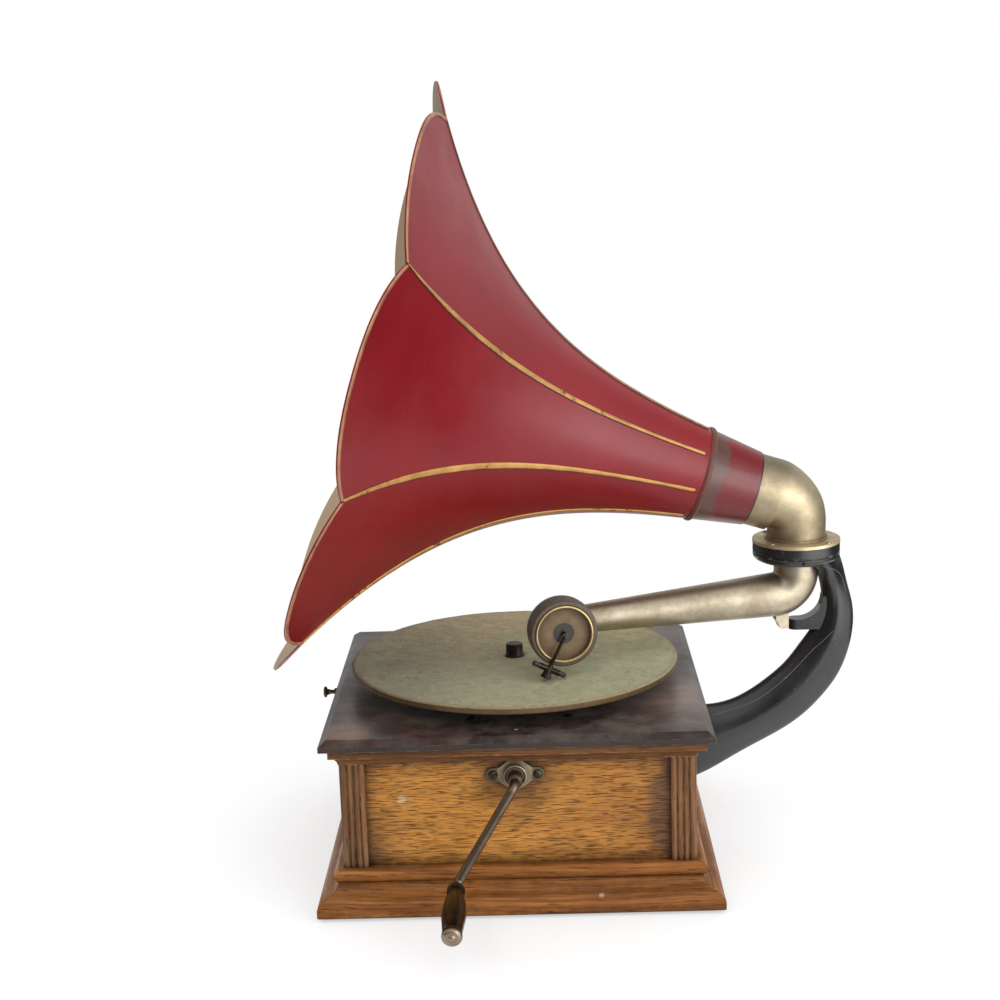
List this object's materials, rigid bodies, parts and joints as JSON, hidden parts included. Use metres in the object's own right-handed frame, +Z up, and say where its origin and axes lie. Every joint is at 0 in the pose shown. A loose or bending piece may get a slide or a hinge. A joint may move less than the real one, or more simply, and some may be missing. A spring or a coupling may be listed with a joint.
{
  "type": "disc phonograph",
  "caption": "Table-top disc phonograph: square wooden case with spring motor and turntable, side crank, and a petalled sheet-metal horn and tone arm on a cast bracket.",
  "frame": {"origin": "middle of the case's underside, on the surface that it stands on", "axes": "+Z up, -Y towards the crank, +X towards the bracket that carries the horn, the horn's mouth towards -X"},
  "size_m": [0.5363, 0.5457, 0.7124],
  "materials": {
    "oak_panel": "golden oak, satin, worn",
    "oak_pilaster": "dark golden oak, reeded",
    "oak_base": "orange-brown oak moulding",
    "oak_cornice": "brown oak moulding",
    "walnut_top": "dark walnut-brown board, satin",
    "dark_board": "dark stained board",
    "grip_wood": "black-brown turned wood, glossy",
    "platter_iron": "bronze paint worn to rust brown",
    "felt": "olive grey-green felt",
    "nickel_worn": "worn nickel plate",
    "nickel_bronze": "champagne nickel over brass with patina",
    "dark_steel": "dark steel",
    "bright_steel": "bright steel",
    "gear_brass": "cut brass",
    "motor_plate": "rolled steel plate",
    "barrel_iron": "turned iron",
    "spring_steel": "blued spring steel",
    "bush_rubber": "dark rubber",
    "black_japan": "black japanned casting, worn edges",
    "knob_brass": "dark worn brass",
    "pad_leather": "brown leather",
    "horn_red": "deep red lacquer, satin, dusty",
    "horn_gold": "gold stripe, chipped",
    "horn_bead": "red lacquered bead",
    "soundbox_dark": "brown-black lacquer",
    "soundbox_gilt": "gilt ring",
    "mica_tan": "tan diaphragm sheet",
    "washer_dark": "dark washer"
  },
  "bodies": {
    "case": {"bottom_board": "dark_board", "panel_crank_side": "oak_panel", "panel_far_side": "oak_panel", "panel_knob_side": "oak_panel", "panel_bracket_side": "oak_panel", "corner_pilasters": "oak_pilaster", "base_mouldings": "oak_base", "cornice_mouldings": "oak_cornice", "top_board": "walnut_top", "motor_top_plate": "motor_plate", "motor_bottom_plate": "motor_plate", "motor_pillars": "bright_steel", "hanger_bolts": "dark_steel", "hanger_bushes": "bush_rubber", "crank_escutcheon": "nickel_worn", "wood_screws": "dark_steel", "horn_bracket": "black_japan", "ring_plate": "nickel_worn", "plate_screws": "dark_steel", "brake_bush": "knob_brass"},
    "turntable": {"turntable_plate": "platter_iron", "turntable_felt": "felt", "spindle": "bright_steel", "spindle_cap": "nickel_worn", "spindle_wheel": "gear_brass"},
    "first_arbor": {"first_arbor": "bright_steel", "first_wheel": "gear_brass"},
    "barrel": {"spring_barrel": "barrel_iron", "barrel_cover": "barrel_iron", "mainspring": "spring_steel"},
    "governor": {"governor_shaft": "bright_steel", "governor_disc": "gear_brass", "governor_springs": "spring_steel", "governor_weights": "gear_brass"},
    "crank": {"crank_arm": "nickel_worn", "winding_shaft": "bright_steel", "handle_cap": "nickel_worn"},
    "winding_arbor": {"barrel_arbor": "bright_steel", "winding_wheel": "gear_brass"},
    "handle": {"crank_handle": "grip_wood"},
    "tonearm": {"tonearm": "nickel_bronze"},
    "soundbox": {"soundbox_body": "soundbox_dark", "soundbox_gasket": "bush_rubber", "soundbox_ring": "soundbox_gilt", "diaphragm": "mica_tan", "diaphragm_washer": "washer_dark", "stylus_bar": "dark_steel", "stylus_pivots": "dark_steel", "needle_screw": "dark_steel", "needle": "bright_steel"},
    "horn": {"horn_elbow": "nickel_bronze", "horn_throat": "horn_red", "horn_collar": "horn_bead", "horn_petals": "horn_red", "horn_seams": "horn_gold", "horn_hems": "horn_gold"},
    "brake": {"brake_knob": "knob_brass", "brake_arm": "bright_steel", "brake_pad": "pad_leather"}
  },
  "joints": [
    {"name": "turntable_spin", "type": "hinge", "parent": "case", "child": "turntable", "pos_m": [-0.0016, -0.0041, 0.165], "axis": [0, 0, 1], "continuous": true},
    {"name": "first_arbor_spin", "type": "hinge", "parent": "case", "child": "first_arbor", "pos_m": [0.03261, -0.02404, 0.1], "axis": [0, 0, 1], "continuous": true},
    {"name": "barrel_spin", "type": "hinge", "parent": "case", "child": "barrel", "pos_m": [-0.0021, -0.07, 0.085], "axis": [0, 0, 1], "continuous": true},
    {"name": "governor_spin", "type": "hinge", "parent": "case", "child": "governor", "pos_m": [-0.02834, 0.02, 0.1], "axis": [0, 0, 1], "continuous": true},
    {"name": "crank_turn", "type": "hinge", "parent": "case", "child": "crank", "pos_m": [-0.0021, -0.16, 0.122], "axis": [0, 1, 0], "continuous": true},
    {"name": "winding_arbor_spin", "type": "hinge", "parent": "case", "child": "winding_arbor", "pos_m": [-0.0021, -0.07, 0.11], "axis": [0, 0, 1], "continuous": true},
    {"name": "handle_spin", "type": "hinge", "parent": "crank", "child": "handle", "pos_m": [-0.0547, -0.24, 0.0375], "axis": [0, 1, 0], "continuous": true},
    {"name": "tonearm_swing", "type": "hinge", "parent": "case", "child": "tonearm", "pos_m": [0.2623, 0, 0.277], "axis": [0, 0, 1], "range_deg": [-10, 30]},
    {"name": "soundbox_lift", "type": "hinge", "parent": "tonearm", "child": "soundbox", "pos_m": [0.03755, -0.04125, 0.2265], "axis": [-0.1805, 0.9836, 0], "range_deg": [0, 95]},
    {"name": "horn_swing", "type": "hinge", "parent": "case", "child": "horn", "pos_m": [0.2623, 0, 0.285], "axis": [0, 0, 1], "range_deg": [-60, 60]},
    {"name": "brake_pull", "type": "slide", "parent": "case", "child": "brake", "axis": [-1, 0, 0], "range_m": [0, 0.006]}
  ],
  "couplings": [
    {"joint": "first_arbor_spin", "follows": "turntable_spin", "ratio": -0.22222},
    {"joint": "barrel_spin", "follows": "turntable_spin", "ratio": 0.044444},
    {"joint": "governor_spin", "follows": "turntable_spin", "ratio": -5},
    {"joint": "winding_arbor_spin", "follows": "crank_turn", "ratio": -0.5}
  ]
}
